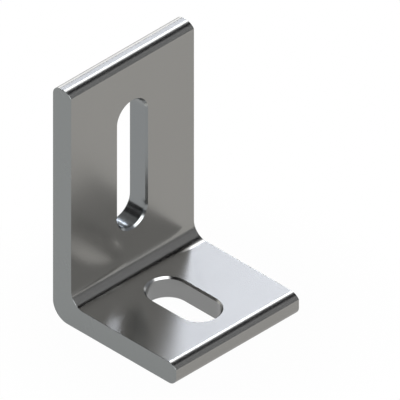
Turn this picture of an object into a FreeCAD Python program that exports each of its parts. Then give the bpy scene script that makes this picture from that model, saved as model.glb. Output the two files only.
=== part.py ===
import FreeCAD, Part
import math
import os

# An angle bracket sawn from one aluminium extrusion. A foot lies flat, and a leg stands up from its heel.
# X runs across the bracket, the foot points along -Y, and the leg rises along +Z.
# The origin is on the underside, at the middle of the foot's slot. Sizes are in millimetres.

# Outside sizes
bracket_width = 50.8
foot_length = 50.8  # from the leg's back to the toe
leg_height = 82.6  # from the underside to the top of the leg
foot_thickness = 7.5
leg_thickness = 7.5

# Rounds of the extruded section
heel_radius = 6.0  # outside of the bend
bend_radius = 5.0  # inside of the bend
corner_radius = 3.0  # outer corner at the leg's top and at the toe
nose_radius = 4.1  # crown of the leg's top and of the toe
nose_turn = 53.0  # degrees that the crown turns before the flat face cuts it

# Slot through the leg, open along its height
leg_slot_width = 11.6
leg_slot_above_bend = 10.2  # web left between the inner bend and the slot
leg_slot_below_top = 15.1  # web left between the slot and the top of the leg

# Slot through the foot, open along its length
foot_slot_width = 12.9
foot_slot_off_bend = 3.1  # web left between the inner bend and the slot
foot_slot_off_toe = 9.4  # web left between the slot and the toe

# Both slots are broken by the same chamfer at both of their faces.
slot_chamfer = 0.6

# Ends of the slots, as a run from the leg's back and a rise from the underside
foot_slot_start = leg_thickness + bend_radius + foot_slot_off_bend
foot_slot_end = foot_length - foot_slot_off_toe
leg_slot_start = foot_thickness + bend_radius + leg_slot_above_bend
leg_slot_end = leg_height - leg_slot_below_top

# The foot slot's middle is the origin, so the leg's back lies this far along +Y.
leg_back_y = (foot_slot_start + foot_slot_end) / 2

ACROSS = FreeCAD.Vector(1, 0, 0)
TO_TOE = FreeCAD.Vector(0, -1, 0)
UP = FreeCAD.Vector(0, 0, 1)


def section_point(run, rise, x=0.0):
    """The point a run from the leg's back towards the toe, a rise above the underside and x across."""
    return FreeCAD.Vector(x, leg_back_y - run, rise)


def arc_points(run, rise, radius, start, end):
    """Start, middle and end points of an arc about a centre, with its angles in degrees from the toe's way."""
    points = []
    for degrees in (start, (start + end) / 2, end):
        angle = math.radians(degrees)
        x = -bracket_width / 2
        points.append(section_point(run + radius * math.cos(angle), rise + radius * math.sin(angle), x))
    return points


def nose_arc(face_run, top_rise):
    """The crown that leaves a top face without an edge and ends where the flat face at face_run cuts it."""
    centre_run = face_run - nose_radius * math.sin(math.radians(nose_turn))
    return arc_points(centre_run, top_rise - nose_radius, nose_radius, 90, 90 - nose_turn)


def section_face():
    """The extruded section: six arcs, each joined to the next by a straight edge."""
    arcs = [
        arc_points(heel_radius, heel_radius, heel_radius, 270, 180),
        arc_points(corner_radius, leg_height - corner_radius, corner_radius, 180, 90),
        nose_arc(leg_thickness, leg_height),
        arc_points(leg_thickness + bend_radius, foot_thickness + bend_radius, bend_radius, 180, 270),
        nose_arc(foot_length, foot_thickness),
        arc_points(foot_length - corner_radius, corner_radius, corner_radius, 0, -90),
    ]
    edges = []
    for points, following in zip(arcs, arcs[1:] + arcs[:1]):
        edges.append(Part.Arc(*points).toShape())
        edges.append(Part.LineSegment(points[-1], following[0]).toShape())
    return Part.Face(Part.Wire(edges))


def round_ended_bar(low, high, bar_width, through, depth):
    """A bar with half-round ends that reach low and high, swept by depth along the through direction."""
    along = (high - low).normalize()
    side = through.cross(along) * (bar_width / 2)
    reach = along * (bar_width / 2)
    first, last = low + reach, high - reach
    edges = [
        Part.LineSegment(first + side, last + side).toShape(),
        Part.Arc(last + side, high, last - side).toShape(),
        Part.LineSegment(last - side, first - side).toShape(),
        Part.Arc(first - side, low, first + side).toShape(),
    ]
    return Part.Face(Part.Wire(edges)).extrude(through * depth)


def cut_slot(body, cutter, through):
    """The body with the cutter taken out of it, and the slot's rim chamfered at both faces."""
    body = body.cut(cutter)
    around = FreeCAD.BoundBox(cutter.BoundBox)
    around.enlarge(slot_chamfer / 2)
    rim = []
    for edge in body.Edges:
        box = edge.BoundBox
        spread = FreeCAD.Vector(box.XLength, box.YLength, box.ZLength)
        lies_in_face = abs(spread.dot(through)) < slot_chamfer / 2
        if lies_in_face and around.isInside(box):
            rim.append(edge)
    return body.makeChamfer(slot_chamfer, rim)


def l_foot():
    """The whole bracket as one solid."""
    body = section_face().extrude(ACROSS * bracket_width)
    leg_cutter = round_ended_bar(
        section_point(-slot_chamfer, leg_slot_start),
        section_point(-slot_chamfer, leg_slot_end),
        leg_slot_width,
        TO_TOE,
        leg_thickness + 2 * slot_chamfer,
    )
    foot_cutter = round_ended_bar(
        section_point(foot_slot_start, -slot_chamfer),
        section_point(foot_slot_end, -slot_chamfer),
        foot_slot_width,
        UP,
        foot_thickness + 2 * slot_chamfer,
    )
    body = cut_slot(body, leg_cutter, TO_TOE)
    return cut_slot(body, foot_cutter, UP)


os.makedirs("parts", exist_ok=True)
bracket = l_foot()
bracket.exportStep("parts/l_foot.step")
print("l_foot: solids", len(bracket.Solids), "valid", bracket.isValid(), "volume", round(bracket.Volume, 1))
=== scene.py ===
import math

import bpy
import numpy as np
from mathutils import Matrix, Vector


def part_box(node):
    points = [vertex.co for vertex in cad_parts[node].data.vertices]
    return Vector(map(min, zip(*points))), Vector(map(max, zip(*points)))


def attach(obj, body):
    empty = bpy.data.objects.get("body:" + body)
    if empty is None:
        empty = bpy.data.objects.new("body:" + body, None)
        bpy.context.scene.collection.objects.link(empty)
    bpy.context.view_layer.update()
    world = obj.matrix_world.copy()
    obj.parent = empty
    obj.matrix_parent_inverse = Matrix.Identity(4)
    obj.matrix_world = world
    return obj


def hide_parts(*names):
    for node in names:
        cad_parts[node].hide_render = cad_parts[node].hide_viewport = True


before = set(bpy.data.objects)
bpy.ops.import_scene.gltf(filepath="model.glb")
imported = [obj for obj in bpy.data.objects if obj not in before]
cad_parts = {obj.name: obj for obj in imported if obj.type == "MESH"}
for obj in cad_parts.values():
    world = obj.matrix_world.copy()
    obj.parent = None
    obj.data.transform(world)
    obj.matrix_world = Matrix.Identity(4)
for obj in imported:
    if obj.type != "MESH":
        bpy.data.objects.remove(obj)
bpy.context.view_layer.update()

# An angle bracket sawn from one aluminium extrusion, seen from above its toe's left corner.
# The section lies in the plane of run and rise. Run goes from the leg's back to the toe, rise goes up
# from the underside, and the extrusion runs along X. All sizes are in metres.

MM = 0.001

# Outside sizes, as the frame's own node has them
bracket_low, bracket_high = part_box("l_foot")
half_width = bracket_high.x
leg_back_y = bracket_high.y
foot_length = bracket_high.y - bracket_low.y
leg_height = bracket_high.z
foot_thickness = 7.5 * MM
leg_thickness = 7.5 * MM

# Rounds of the extruded section
heel_radius = 6.0 * MM
bend_radius = 5.0 * MM
corner_radius = 3.0 * MM
nose_radius = 4.1 * MM
nose_turn = math.radians(53.0)
nose_edge_round = 0.25 * MM  # the soft edge between a crown and its flat face
saw_edge_break = 0.12 * MM  # the deburred edge round each sawn end

# Slots, each from one end of its opening to the other
slot_chamfer = 0.6 * MM
leg_slot = {"start": 22.7 * MM, "end": 67.5 * MM, "half": 5.8 * MM}
foot_slot = {"start": 15.6 * MM, "end": 41.4 * MM, "half": 6.45 * MM}

# How finely each run of the section is divided
ARC_STEPS = 12  # corner, crown, and each quarter of a slot's round end beside the side edges
EDGE_STEPS = 3  # of the crown's steps, those on its soft edge
BEND_STEPS = 20
SLOT_STEPS = 24  # straight part of a slot's side
SIDE_STEPS = 2 * ARC_STEPS + SLOT_STEPS
ACROSS_STEPS = 24
WALL_STEPS = 3  # across the thickness
RING_STEPS = 4  # from a slot's rim to the edge of its flat face
BREAK_STEPS = 3

WELD_DISTANCE = 1e-8

RUN, RISE = range(2)  # the two parts of a section point
SKIN, SAWN, LEG_SLOT_WALL, FOOT_SLOT_WALL = range(4)


def arc(centre, radius, start, end, steps, hollow=False):
    """Points centre + radius * (cos t, sin t) for t from start to end in degrees, with outward directions.

    A hollow arc has the metal outside it, so its outward directions point to its centre.
    """
    turn = np.radians(np.linspace(start, end, steps + 1))
    way = np.stack([np.cos(turn), np.sin(turn)], axis=1)
    return np.array(centre) + radius * way, -way if hollow else way


def straight(first, last, way, steps):
    """Points (1 - s) * first + s * last for s from 0 to 1, all with the one outward direction."""
    s = np.linspace(0.0, 1.0, steps + 1)[:, None]
    points = (1 - s) * np.array(first) + s * np.array(last)
    return points, np.tile(np.array(way, float), (steps + 1, 1))


def turned(run):
    """The same run from its end to its start."""
    points, ways = run
    return points[::-1], ways[::-1]


def joined(*runs):
    """The runs one after the other, without the point that each shares with the one before."""
    points = [runs[0][0]] + [p[1:] for p, _ in runs[1:]]
    ways = [runs[0][1]] + [w[1:] for _, w in runs[1:]]
    return np.concatenate(points), np.concatenate(ways)


def nose(face_run, top_rise):
    """The crown, from the flat face at face_run up and back to the flat top at top_rise.

    A small arc of radius nose_edge_round touches the face and the crown from inside. Its centre lies
    nose_edge_round behind the face and nose_radius - nose_edge_round from the crown's centre.
    """
    centre = np.array([face_run - nose_radius * math.sin(nose_turn), top_rise - nose_radius])
    reach = nose_radius - nose_edge_round
    meet = math.asin((face_run - nose_edge_round - centre[0]) / reach)
    edge_centre = centre + reach * np.array([math.sin(meet), math.cos(meet)])
    touch = 90 - math.degrees(meet)
    edge = arc(edge_centre, nose_edge_round, 0, touch, EDGE_STEPS)
    crown = arc(centre, nose_radius, touch, 90, ARC_STEPS - EDGE_STEPS)
    return joined(edge, crown)


# The section as runs from the toe to the leg's top, along the outside and along the inside of the angle
toe_nose = nose(foot_length, foot_thickness)
leg_nose = nose(leg_thickness, leg_height)
bend_centre = (leg_thickness + bend_radius, foot_thickness + bend_radius)
toe_corner = arc((foot_length - corner_radius, corner_radius), corner_radius, 0, -90, ARC_STEPS)
heel = arc((heel_radius, heel_radius), heel_radius, 270, 180, BEND_STEPS)
top_corner = arc((corner_radius, leg_height - corner_radius), corner_radius, 180, 90, ARC_STEPS)
bend = arc(bend_centre, bend_radius, 270, 180, BEND_STEPS, hollow=True)
underside = straight(toe_corner[0][-1], heel[0][0], (0, -1), SIDE_STEPS)
leg_back = straight(heel[0][-1], top_corner[0][0], (-1, 0), SIDE_STEPS)
foot_top = straight(toe_nose[0][-1], bend[0][0], (0, 1), SIDE_STEPS)
leg_front = straight(bend[0][-1], leg_nose[0][0], (1, 0), SIDE_STEPS)
toe_flat = straight(toe_corner[0][0], toe_nose[0][0], (1, 0), WALL_STEPS)
top_flat = straight(top_corner[0][-1], leg_nose[0][-1], (0, 1), WALL_STEPS)

outside = joined(toe_corner, underside, heel, leg_back, top_corner)
inside = joined(toe_nose, foot_top, bend, leg_front, leg_nose)
whole_section = joined(outside, top_flat, turned(inside), turned(toe_flat))


def in_frame(x, section):
    """Section points (run, rise) at the places x across, as points (x, leg_back_y - run, rise)."""
    section = np.asarray(section)
    x, run, rise = np.broadcast_arrays(x, section[..., 0], section[..., 1])
    return np.stack([x, leg_back_y - run, rise], axis=-1)


def way_in_frame(x, section):
    """Section directions as directions in the frame, with the part x across."""
    section = np.asarray(section)
    x, run, rise = np.broadcast_arrays(x, section[..., 0], section[..., 1])
    return np.stack([x, -run, rise], axis=-1)


def extruded(run):
    """A run of the section carried along X: point(i, j) is its point i at the place j across."""
    x = np.linspace(-1.0, 1.0, ACROSS_STEPS + 1)[None, :] * (half_width - saw_edge_break)
    points, ways = run
    return in_frame(x, points[:, None, :]), way_in_frame(0.0 * x, ways[:, None, :])


def slot_rim(slot, widen):
    """A slot's round-ended rim, widen wider all round, as (across, along) points with inward directions.

    It goes once round in as many steps as the edge of its flat face does. It starts on the low round end
    at the place that faces the low left corner, and it goes right, up, left and down.
    """
    radius = slot["half"] + widen
    low, high = slot["start"] + slot["half"], slot["end"] - slot["half"]
    round_steps = 2 * ARC_STEPS + ACROSS_STEPS
    start = 180 + 180 * ARC_STEPS / round_steps
    first_end = arc((0, low), radius, start, 360, ACROSS_STEPS + ARC_STEPS)
    right = straight((radius, low), (radius, high), (1, 0), SLOT_STEPS)
    second_end = arc((0, high), radius, 0, 180, round_steps)
    left = straight((-radius, high), (-radius, low), (-1, 0), SLOT_STEPS)
    last_end = arc((0, low), radius, 180, start, ARC_STEPS)
    points, ways = joined(first_end, right, second_end, left, last_end)
    return points, -ways


def face_edge(low, high):
    """The rectangle round a slotted face, once round from its low left corner, as (across, along)."""
    reach = half_width - saw_edge_break
    corners = [(-reach, low), (reach, low), (reach, high), (-reach, high), (-reach, low)]
    steps = [ACROSS_STEPS, SIDE_STEPS, ACROSS_STEPS, SIDE_STEPS]
    sides = [straight(a, b, (0, 0), n) for a, b, n in zip(corners, corners[1:], steps)]
    return joined(*sides)[0]


def plane_points(across_along, depth, upright):
    """Points (across, along) of a slot's plane in the frame: along the rise if upright, or else the run."""
    across, along = across_along[..., 0], across_along[..., 1]
    depth = np.broadcast_to(depth, along.shape)
    section = np.stack([depth, along] if upright else [along, depth], axis=-1)
    return in_frame(across, section)


def plane_ways(across_along, out, upright):
    """Directions (across, along) plus out, the part square to the plane, as directions in the frame."""
    across, along = across_along[..., 0], across_along[..., 1]
    out = np.broadcast_to(out, along.shape)
    section = np.stack([out, along] if upright else [along, out], axis=-1)
    return way_in_frame(across, section)


def slotted_face(slot, low, high, depth, out, upright):
    """The flat ring from a slot's chamfered rim to the edge of its face: (1 - s) * rim(t) + s * edge(t).

    Its outward direction is out, 1 or -1, square to the face.
    """
    rim, _ = slot_rim(slot, slot_chamfer)
    edge = face_edge(low, high)
    s = np.linspace(0.0, 1.0, RING_STEPS + 1)[:, None, None]
    grid = (1 - s) * rim + s * edge
    return plane_points(grid, depth, upright), plane_ways(0.0 * grid, out, upright)


def slot_band(slot, widen, depths, lean, upright):
    """A band of a slot's wall: (1 - s) * rim(t) at widen[0], depths[0] + s * rim(t) at widen[1], depths[1].

    Its outward direction is the rim's inward one with lean added square to the face.
    """
    first, inward = slot_rim(slot, widen[0])
    last, _ = slot_rim(slot, widen[1])
    steps = WALL_STEPS if lean == 0 else 1
    s = np.linspace(0.0, 1.0, steps + 1)[:, None, None]
    grid = (1 - s) * first + s * last
    depth = (1 - s[..., 0]) * depths[0] + s[..., 0] * depths[1]
    scale = 1 / math.hypot(1, lean)
    ways = np.broadcast_to(inward * scale, grid.shape)
    return plane_points(grid, depth, upright), plane_ways(ways, lean * scale, upright)


def slot_walls(slot, near, far, upright):
    """The chamfer at the near face, the wall and the chamfer at the far face of one slot."""
    step = math.copysign(slot_chamfer, far - near)
    out = -math.copysign(1.0, far - near)
    return [
        slot_band(slot, (slot_chamfer, 0.0), (near, near + step), out, upright),
        slot_band(slot, (0.0, 0.0), (near + step, far - step), 0, upright),
        slot_band(slot, (0.0, slot_chamfer), (far - step, far), -out, upright),
    ]


def edge_break(side):
    """A quarter round of saw_edge_break between the skin and the sawn end on one side.

    point(i, a) = section point i less outward direction * saw_edge_break * (1 - cos a), at
    x = side * (half_width - saw_edge_break * (1 - sin a)), for a from 0 to 90 degrees.
    """
    points, ways = whole_section
    a = np.linspace(0.0, math.pi / 2, BREAK_STEPS + 1)[None, :, None]
    inset = points[:, None, :] - ways[:, None, :] * saw_edge_break * (1 - np.cos(a))
    x = side * (half_width - saw_edge_break * (1 - np.sin(a[..., 0])))
    return in_frame(x, inset), way_in_frame(side * np.sin(a[..., 0]), ways[:, None, :] * np.cos(a))


def sawn_end(side):
    """The flat end: (1 - s) * outside(i) + s * inside(i), both set in by the edge break."""
    outer = outside[0] - outside[1] * saw_edge_break
    inner = inside[0] - inside[1] * saw_edge_break
    s = np.linspace(0.0, 1.0, WALL_STEPS + 1)[None, :, None]
    grid = (1 - s) * outer[:, None, :] + s * inner[:, None, :]
    x = np.full(grid.shape[:2], side * half_width)
    return in_frame(x, grid), way_in_frame(side + 0.0 * x, 0.0 * grid)


def reach_of(run, part):
    """The low and the high end of a straight run of the section, as its part RUN or RISE."""
    places = run[0][:, part]
    return places.min(), places.max()


def bracket_patches():
    """Every surface of the bracket with the finish that it has."""
    patches = [(extruded(run), SKIN) for run in (toe_corner, heel, top_corner, bend, toe_nose, leg_nose)]
    patches += [(extruded(run), SKIN) for run in (toe_flat, top_flat)]
    faces = [
        slotted_face(leg_slot, *reach_of(leg_front, RISE), leg_thickness, 1, upright=True),
        slotted_face(leg_slot, *reach_of(leg_back, RISE), 0.0, -1, upright=True),
        slotted_face(foot_slot, *reach_of(foot_top, RUN), foot_thickness, 1, upright=False),
        slotted_face(foot_slot, *reach_of(underside, RUN), 0.0, -1, upright=False),
    ]
    patches += [(face, SKIN) for face in faces]
    leg_walls = slot_walls(leg_slot, leg_thickness, 0.0, upright=True)
    foot_walls = slot_walls(foot_slot, foot_thickness, 0.0, upright=False)
    patches += [(band, LEG_SLOT_WALL) for band in leg_walls]
    patches += [(band, FOOT_SLOT_WALL) for band in foot_walls]
    for side in (-1.0, 1.0):
        patches.append((edge_break(side), SAWN))
        patches.append((sawn_end(side), SAWN))
    return patches


def grid_quads(points, ways, first_index):
    """The four corners of each cell of a grid, in the order that makes the faces look along their ways."""
    rows, columns = points.shape[:2]
    index = first_index + np.arange(rows * columns).reshape(rows, columns)
    corners = [index[:-1, :-1], index[:-1, 1:], index[1:, 1:], index[1:, :-1]]
    quads = np.stack(corners, axis=-1).reshape(-1, 4)
    one_way = points[:-1, 1:] - points[:-1, :-1]
    other_way = points[1:, :-1] - points[:-1, :-1]
    agrees = np.sum(np.cross(one_way, other_way) * ways[:-1, :-1])
    return quads if agrees > 0 else quads[:, ::-1]


def welded_mesh(name, patches):
    """One closed mesh of all patches, with welded seams and each patch's own directions as its normals."""
    points, ways, quads, finishes = [], [], [], []
    count = 0
    for (patch_points, patch_ways), finish in patches:
        patch_quads = grid_quads(patch_points, patch_ways, count)
        points.append(patch_points.reshape(-1, 3))
        ways.append(patch_ways.reshape(-1, 3))
        quads.append(patch_quads)
        finishes.append(np.full(len(patch_quads), finish))
        count += patch_points.shape[0] * patch_points.shape[1]
    points, ways, quads = np.concatenate(points), np.concatenate(ways), np.concatenate(quads)
    places = np.round(points / WELD_DISTANCE).astype(np.int64)
    _, first, welded = np.unique(places, axis=0, return_index=True, return_inverse=True)
    mesh = bpy.data.meshes.new(name)
    mesh.from_pydata(points[first], [], welded.reshape(-1)[quads])
    mesh.polygons.foreach_set("material_index", np.concatenate(finishes).astype(np.int32))
    mesh.polygons.foreach_set("use_smooth", np.ones(len(quads), bool))
    mesh.normals_split_custom_set(ways[quads.reshape(-1)])
    mesh.update()
    return mesh


# Shader groups that the finishes share

MARK_DETAIL = 3.0  # finer and finer steps in the drawing lines and the saw's arcs
CLOUD_SCALE = 55.0  # clouds of oxide in a metre
CLOUD_DETAIL = 2.0
NOISE_MIDDLE = 0.5  # the value about which a noise swings


def new_group(name, inputs, outputs):
    """An empty shader node group with its float, colour and vector sockets."""
    kinds = {"float": "NodeSocketFloat", "colour": "NodeSocketColor", "vector": "NodeSocketVector"}
    group = bpy.data.node_groups.new(name, "ShaderNodeTree")
    for socket, kind in inputs:
        group.interface.new_socket(name=socket, in_out="INPUT", socket_type=kinds[kind])
    for socket, kind in outputs:
        group.interface.new_socket(name=socket, in_out="OUTPUT", socket_type=kinds[kind])
    return group, group.nodes.new("NodeGroupInput"), group.nodes.new("NodeGroupOutput")


def math_part(tree, operation, first, second, clamp=False):
    """A math node on two sockets or plain numbers."""
    node = tree.nodes.new("ShaderNodeMath")
    node.operation = operation
    node.use_clamp = clamp
    for socket, value in zip(node.inputs, (first, second)):
        if isinstance(value, float):
            socket.default_value = value
        else:
            tree.links.new(value, socket)
    return node.outputs["Value"]


def vector_part(tree, operation, first, second):
    """A vector math node on two vector sockets."""
    node = tree.nodes.new("ShaderNodeVectorMath")
    node.operation = operation
    tree.links.new(first, node.inputs[0])
    tree.links.new(second, node.inputs[1])
    return node


def noise_part(tree, place, scale, detail):
    """A noise texture on a vector socket."""
    noise = tree.nodes.new("ShaderNodeTexNoise")
    noise.inputs["Scale"].default_value = scale
    noise.inputs["Detail"].default_value = detail
    tree.links.new(place, noise.inputs["Vector"])
    return noise.outputs["Fac"]


def drawn_lines_group():
    """Fine lines drawn along one direction: noise on Object coordinates, each axis times its own scale."""
    inputs = [("Place", "vector"), ("Stretch", "vector"), ("Depth", "float")]
    group, given, result = new_group("drawn_lines", inputs, [("Height", "float"), ("Mask", "float")])
    stretched = vector_part(group, "MULTIPLY", given.outputs["Place"], given.outputs["Stretch"])
    lines = noise_part(group, stretched.outputs["Vector"], 1.0, MARK_DETAIL)
    group.links.new(math_part(group, "MULTIPLY", lines, given.outputs["Depth"]), result.inputs["Height"])
    group.links.new(lines, result.inputs["Mask"])
    return group


def saw_arcs_group():
    """Arcs that a round blade leaves: noise on the distance from the blade's centre, off the end face."""
    inputs = [("Place", "vector"), ("Blade Centre", "vector"), ("Spacing", "float"), ("Depth", "float")]
    group, given, result = new_group("saw_arcs", inputs, [("Height", "float"), ("Mask", "float")])
    distance = vector_part(group, "DISTANCE", given.outputs["Place"], given.outputs["Blade Centre"])
    marks = group.nodes.new("ShaderNodeTexNoise")
    marks.noise_dimensions = "1D"
    marks.inputs["Scale"].default_value = 1.0
    marks.inputs["Detail"].default_value = MARK_DETAIL
    teeth = math_part(group, "DIVIDE", distance.outputs["Value"], given.outputs["Spacing"])
    group.links.new(teeth, marks.inputs["W"])
    height = math_part(group, "MULTIPLY", marks.outputs["Fac"], given.outputs["Depth"])
    group.links.new(height, result.inputs["Height"])
    group.links.new(marks.outputs["Fac"], result.inputs["Mask"])
    return group


def metal_tone_group():
    """The metal's colour and roughness, varied a little by slow clouds of oxide and the finish's lines.

    Colour is Metal * (1 + Cloud Share * cloud + Line Share * line), and roughness is
    Roughness + Roughness Spread * (cloud + line), where both swing about zero.
    """
    inputs = [
        ("Place", "vector"),
        ("Metal", "colour"),
        ("Lines", "float"),
        ("Cloud Share", "float"),
        ("Line Share", "float"),
        ("Roughness", "float"),
        ("Roughness Spread", "float"),
    ]
    group, given, result = new_group("metal_tone", inputs, [("Colour", "colour"), ("Roughness", "float")])
    clouds = noise_part(group, given.outputs["Place"], CLOUD_SCALE, CLOUD_DETAIL)
    cloud = math_part(group, "SUBTRACT", clouds, NOISE_MIDDLE)
    line = math_part(group, "SUBTRACT", given.outputs["Lines"], NOISE_MIDDLE)
    cloud_part = math_part(group, "MULTIPLY", cloud, given.outputs["Cloud Share"])
    line_part = math_part(group, "MULTIPLY", line, given.outputs["Line Share"])
    gain = math_part(group, "ADD", math_part(group, "ADD", cloud_part, line_part), 1.0)
    toned = group.nodes.new("ShaderNodeVectorMath")
    toned.operation = "SCALE"
    group.links.new(given.outputs["Metal"], toned.inputs[0])
    group.links.new(gain, toned.inputs["Scale"])
    group.links.new(toned.outputs["Vector"], result.inputs["Colour"])
    both = math_part(group, "ADD", cloud, line)
    spread = math_part(group, "MULTIPLY", both, given.outputs["Roughness Spread"])
    roughness = math_part(group, "ADD", given.outputs["Roughness"], spread)
    group.links.new(roughness, result.inputs["Roughness"])
    return group


drawn_lines = drawn_lines_group()
saw_arcs = saw_arcs_group()
metal_tone = metal_tone_group()


def place_group(tree, group, values):
    """A shader group placed in a material with its own values."""
    node = tree.nodes.new("ShaderNodeGroup")
    node.node_tree = group
    for socket, value in values.items():
        node.inputs[socket].default_value = value
    return node


def metal_material(name, marks_group, marks_values, metal, tone_values, drawn=0.0):
    """A bare metal finish: its marks drive a Bump, and the shared tone drives colour and roughness.

    A skin drawn along X blurs what it mirrors more across its lines, along normal x X, than along them,
    and drawn says how much more.
    """
    material = bpy.data.materials.new(name)
    material.use_nodes = True
    tree = material.node_tree
    shader = tree.nodes["Principled BSDF"]
    shader.inputs["Metallic"].default_value = 1.0
    place = tree.nodes.new("ShaderNodeTexCoord")
    marks = place_group(tree, marks_group, marks_values)
    tree.links.new(place.outputs["Object"], marks.inputs["Place"])
    tone = place_group(tree, metal_tone, {"Metal": (*metal, 1.0), **tone_values})
    tree.links.new(place.outputs["Object"], tone.inputs["Place"])
    tree.links.new(marks.outputs["Mask"], tone.inputs["Lines"])
    tree.links.new(tone.outputs["Colour"], shader.inputs["Base Color"])
    tree.links.new(tone.outputs["Roughness"], shader.inputs["Roughness"])
    bump = tree.nodes.new("ShaderNodeBump")
    bump.inputs["Strength"].default_value = 1.0
    bump.inputs["Distance"].default_value = 1.0
    tree.links.new(marks.outputs["Height"], bump.inputs["Height"])
    tree.links.new(bump.outputs["Normal"], shader.inputs["Normal"])
    if drawn > 0.0:
        facing = tree.nodes.new("ShaderNodeNewGeometry")
        across = tree.nodes.new("ShaderNodeVectorMath")
        across.operation = "CROSS_PRODUCT"
        across.inputs[1].default_value = (1.0, 0.0, 0.0)
        tree.links.new(facing.outputs["Normal"], across.inputs[0])
        tree.links.new(across.outputs["Vector"], shader.inputs["Tangent"])
        shader.inputs["Anisotropic"].default_value = drawn
    return material


# How much red, green and blue each finish mirrors, with painted shade in the leg slot's colour
skin_metal = (0.375, 0.367, 0.347)
sawn_metal = (0.331, 0.346, 0.344)
# Painted shade: the leg slot's wall has the foot slot's milled finish, but is coloured darker and bluer, a
# painted shade with a cool cast
leg_slot_shaded_metal = (0.315, 0.330, 0.335)
foot_slot_metal = (0.355, 0.357, 0.355)

extruded_skin = metal_material(
    "extruded_skin",
    drawn_lines,
    {"Stretch": (25.0, 1400.0, 1400.0), "Depth": 0.0004 * MM},
    skin_metal,
    {"Cloud Share": 0.03, "Line Share": 0.03, "Roughness": 0.2, "Roughness Spread": 0.008},
    drawn=0.55,
)
sawn_face = metal_material(
    "sawn_face",
    saw_arcs,
    {"Blade Centre": (0.0, 0.16, -0.05), "Spacing": 1.2 * MM, "Depth": 0.0016 * MM},
    sawn_metal,
    {"Cloud Share": 0.02, "Line Share": 0.05, "Roughness": 0.26, "Roughness Spread": 0.05},
)
# Painted shade: the same milled finish as the foot slot's, coloured darker and bluer
leg_slot_wall = metal_material(
    "milled_leg_slot_painted_shade",
    drawn_lines,
    {"Stretch": (60.0, 3000.0, 60.0), "Depth": 0.0003 * MM},
    leg_slot_shaded_metal,
    {"Cloud Share": 0.02, "Line Share": 0.04, "Roughness": 0.2, "Roughness Spread": 0.04},
)
foot_slot_wall = metal_material(
    "milled_foot_slot",
    drawn_lines,
    {"Stretch": (60.0, 60.0, 3000.0), "Depth": 0.0003 * MM},
    foot_slot_metal,
    {"Cloud Share": 0.02, "Line Share": 0.04, "Roughness": 0.2, "Roughness Spread": 0.04},
)

bracket = bpy.data.objects.new("bracket", welded_mesh("bracket", bracket_patches()))
bpy.context.scene.collection.objects.link(bracket)
for finish in (extruded_skin, sawn_face, leg_slot_wall, foot_slot_wall):
    bracket.data.materials.append(finish)
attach(bracket, "root")
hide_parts("l_foot")


# Studio: a pale floor, a white surround, soft lights and a few glowing boards that only the metal shows,
# with painted levels where the metal mirrors them twice

def mixed(tree, share, first, second):
    """A shader that is second for the given share and first for the rest."""
    node = tree.nodes.new("ShaderNodeMixShader")
    tree.links.new(share, node.inputs["Fac"])
    tree.links.new(first, node.inputs[1])
    tree.links.new(second, node.inputs[2])
    return node.outputs["Shader"]


def white_surround(level):
    """A world that is plain white to the camera, to metal and to glass, and lights the rest at the level."""
    world = bpy.data.worlds.new("surround")
    bpy.context.scene.world = world
    world.use_nodes = True
    tree = world.node_tree
    light = tree.nodes["Background"]
    light.inputs["Color"].default_value = (1.0, 1.0, 1.0, 1.0)
    light.inputs["Strength"].default_value = level
    white = tree.nodes.new("ShaderNodeBackground")
    white.inputs["Color"].default_value = (1.0, 1.0, 1.0, 1.0)
    white.inputs["Strength"].default_value = 1.0
    rays = tree.nodes.new("ShaderNodeLightPath")
    seen = math_part(tree, "ADD", rays.outputs["Is Camera Ray"], rays.outputs["Is Glossy Ray"], clamp=True)
    seen = math_part(tree, "ADD", seen, rays.outputs["Is Transmission Ray"], clamp=True)
    surface = mixed(tree, seen, light.outputs["Background"], white.outputs["Background"])
    tree.links.new(surface, tree.nodes["World Output"].inputs["Surface"])


def floor_material():
    """Pale matt floor that shows white, keeps a trace of the shadow, and lets a view from below through.

    The camera sees the white for camera_share as far out as shade_to, and wholly from white_from on.
    Metal and glass see it for mirror_share.
    """
    camera_share, mirror_share = 0.98, 0.55
    shade_to, white_from = 0.035, 0.07
    matt_grey = (0.29, 0.29, 0.29, 1.0)
    material = bpy.data.materials.new("pale_floor")
    material.use_nodes = True
    tree = material.node_tree
    tree.nodes.remove(tree.nodes["Principled BSDF"])
    matt = tree.nodes.new("ShaderNodeBsdfDiffuse")
    matt.inputs["Color"].default_value = matt_grey
    white = tree.nodes.new("ShaderNodeEmission")
    white.inputs["Strength"].default_value = 1.0
    place = tree.nodes.new("ShaderNodeTexCoord")
    distance = tree.nodes.new("ShaderNodeVectorMath")
    distance.operation = "LENGTH"
    tree.links.new(place.outputs["Object"], distance.inputs[0])
    fade = tree.nodes.new("ShaderNodeMapRange")
    fade.inputs["From Min"].default_value = shade_to
    fade.inputs["From Max"].default_value = white_from
    fade.inputs["To Min"].default_value = camera_share
    fade.inputs["To Max"].default_value = 1.0
    tree.links.new(distance.outputs["Value"], fade.inputs["Value"])
    rays = tree.nodes.new("ShaderNodeLightPath")
    camera_part = math_part(tree, "MULTIPLY", rays.outputs["Is Camera Ray"], fade.outputs["Result"])
    by_metal, by_glass = rays.outputs["Is Glossy Ray"], rays.outputs["Is Transmission Ray"]
    mirrored = math_part(tree, "ADD", by_metal, by_glass, clamp=True)
    mirror_part = math_part(tree, "MULTIPLY", mirrored, mirror_share)
    share = math_part(tree, "ADD", camera_part, mirror_part, clamp=True)
    shown = mixed(tree, share, matt.outputs["BSDF"], white.outputs["Emission"])
    clear = tree.nodes.new("ShaderNodeBsdfTransparent")
    side = tree.nodes.new("ShaderNodeNewGeometry")
    surface = mixed(tree, side.outputs["Backfacing"], shown, clear.outputs["BSDF"])
    tree.links.new(surface, tree.nodes["Material Output"].inputs["Surface"])
    return material


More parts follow.
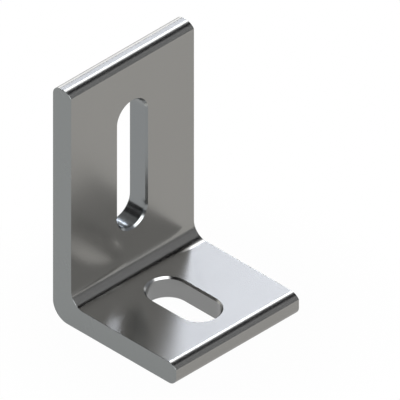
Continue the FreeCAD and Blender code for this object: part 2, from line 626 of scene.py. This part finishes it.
def flat_sheet(name, corners, material):
    """A flat sheet of the studio with the given corners."""
    mesh = bpy.data.meshes.new(name)
    mesh.from_pydata([tuple(c) for c in corners], [], [tuple(range(len(corners)))])
    mesh.materials.append(material)
    sheet = bpy.data.objects.new(name, mesh)
    bpy.context.scene.collection.objects.link(sheet)
    return sheet


def mirror_glow_material(name, tone, painted_double_reflection, tint):
    """A board's glow as the metal shows it, and a painted glow in its place where the metal shows it by two
    reflections, mostly brighter, standing in for the light that a paler metal would pass on between its
    faces.

    It is left out of the search for lights, which then goes to the lamps.
    """
    between_depths = 1.5  # a ray's depth is 1 after one reflection and 2 after two
    material = bpy.data.materials.new(name)
    material.use_nodes = True
    material.cycles.emission_sampling = "NONE"
    tree = material.node_tree
    tree.nodes.remove(tree.nodes["Principled BSDF"])
    glow = tree.nodes.new("ShaderNodeEmission")
    glow.inputs["Color"].default_value = (*tint, 1.0)
    rays = tree.nodes.new("ShaderNodeLightPath")
    # Painted reflection: past the first reflection off the metal, the board glows at a level of its own,
    # mostly brighter
    second = math_part(tree, "GREATER_THAN", rays.outputs["Ray Depth"], between_depths)
    more = math_part(tree, "MULTIPLY", second, painted_double_reflection - tone)
    tree.links.new(math_part(tree, "ADD", more, tone), glow.inputs["Strength"])
    tree.links.new(glow.outputs["Emission"], tree.nodes["Material Output"].inputs["Surface"])
    return material


# The lights and boards stand round a line along X, far enough off to look alike from the whole bracket.
ROUND_Z = 0.03  # height of that line
REACH = 6.0  # from the line to each light and board
PLAIN, COOL, COLD = (1.0, 1.0, 1.0), (0.97, 1.0, 1.06), (0.93, 1.0, 1.16)


def round_place(turn):
    """Y and Z of the place at REACH from the line, turned in degrees from +Y towards +Z."""
    angle = math.radians(turn)
    return REACH * math.cos(angle), ROUND_Z + REACH * math.sin(angle)


def board(name, turns, across, tone, painted_double_reflection, tint=PLAIN):
    """A flat board between two turns about the line, and between two places across in parts of REACH.

    It glows at its tone, and only the metal shows it. Where the metal shows it by two reflections it glows
    at its second tone instead, a painted reflection.
    """
    x0, x1 = (REACH * part for part in across)
    (y0, z0), (y1, z1) = (round_place(turn) for turn in turns)
    corners = [(x0, y0, z0), (x1, y0, z0), (x1, y1, z1), (x0, y1, z1)]
    sheet = flat_sheet(name, corners, mirror_glow_material(name, tone, painted_double_reflection, tint))
    sheet.visible_camera = False
    sheet.visible_diffuse = False
    sheet.visible_transmission = False
    sheet.visible_shadow = False


def soft_light(name, turns, across, level, tint, on_matt=True):
    """A soft rectangular lamp in the place of such a board, as bright as the level all over its face.

    Its power is level * pi * its area, and it faces the line. With on_matt off only the metal shows it,
    and it lights no matt surface and casts no shadow there.
    """
    x0, x1 = (REACH * part for part in across)
    (y0, z0), (y1, z1) = (round_place(turn) for turn in turns)
    data = bpy.data.lights.new(name, "AREA")
    data.shape = "RECTANGLE"
    data.size = x1 - x0
    data.size_y = math.hypot(y1 - y0, z1 - z0)
    data.energy = level * math.pi * data.size * data.size_y
    data.color = tint
    lamp = bpy.data.objects.new(name, data)
    bpy.context.scene.collection.objects.link(lamp)
    lamp.location = ((x0 + x1) / 2, (y0 + y1) / 2, (z0 + z1) / 2)
    lamp.rotation_euler = (math.radians(sum(turns) / 2 - 90), 0.0, 0.0)
    lamp.visible_camera = False
    lamp.visible_diffuse = on_matt


SURROUND_LEVEL = 0.85
white_surround(SURROUND_LEVEL)

FLOOR_REACH = 10.0  # from the middle to each side
FLOOR_DROP = 0.2 * MM  # below the underside, so that the two faces stay apart
floor_sides = ((-1, -1), (1, -1), (1, 1), (-1, 1))
floor_corners = [(FLOOR_REACH * x, FLOOR_REACH * y, -FLOOR_DROP) for x, y in floor_sides]
flat_sheet("floor", floor_corners, floor_material())

soft_light("back_light", (-3, 34), (0.50, 0.85), 1.1, COOL)
soft_light("crown_light", (57, 69.5), (0.45, 0.92), 2.4, COOL)
soft_light("key_light", (113, 158), (-0.50, -0.05), 3.6, PLAIN)
soft_light("top_light", (45, 57), (0.73, 1.0), 27.3, COLD, on_matt=False)
# Each board glows at its first tone in one reflection, and at its second tone in two reflections, which is
# painted reflection
board("top_board", (42, 56), (1.0, 1.8), 1.2, 3.5, COLD)
board("key_board", (113, 158), (-0.05, 0.38), 3.6, 1.0)
board("low_right_board", (-6, 34), (0.88, 1.6), 0.3, 1.2)
board("low_back_board", (-6, 24), (-0.35, 0.40), 0.25, 0.25)
board("dark_board", (75, 110), (-1.8, 1.6), 0.0, 0.35)
board("low_front_board", (110, 122), (0.38, 4.5), 0.38, 0.55, COOL)
board("front_board", (122, 160), (0.38, 4.5), 0.31, 0.78, COOL)
board("high_front_board", (160, 178), (-0.20, 1.6), 0.24, 0.7, COOL)
board("left_front_board", (110, 160), (-1.8, -0.58), 0.3, 0.05)
board("dark_left_front_board", (160, 182), (-1.8, -0.57), 0.02, 0.05)
board("back_board", (34, 56), (0.24, 0.79), 0.20, 0.3)
board("dark_back_board", (34, 75), (-1.5, -0.30), 0.03, 0.3)
board("dim_back_board", (34, 75), (-0.30, 0.24), 0.22, 0.3)
board("dark_left_board", (-2, 34), (-1.8, -0.86), 0.0, 0.3)

# Camera: parallel view along the direction that shows all three axes at one scale
VIEW_CENTRE = Vector((4.955, -1.855, 41.357)) * MM
VIEW_BACK = Vector((-1.0, -1.0, 1.0)).normalized()
VIEW_SIDE = 116.64 * MM  # width and height of what the picture shows
VIEW_DISTANCE = 0.5
VIEW_NEAR, VIEW_FAR = 0.01, 10.0
camera_data = bpy.data.cameras.new("camera")
camera_data.type = "ORTHO"
camera_data.ortho_scale = VIEW_SIDE
camera_data.clip_start = VIEW_NEAR
camera_data.clip_end = VIEW_FAR
camera = bpy.data.objects.new("camera", camera_data)
bpy.context.scene.collection.objects.link(camera)
camera.rotation_mode = "QUATERNION"
camera.location = VIEW_CENTRE + VIEW_BACK * VIEW_DISTANCE
camera.rotation_quaternion = (-VIEW_BACK).to_track_quat("-Z", "Y")
bpy.context.scene.camera = camera

bpy.context.scene.view_settings.view_transform = "Standard"
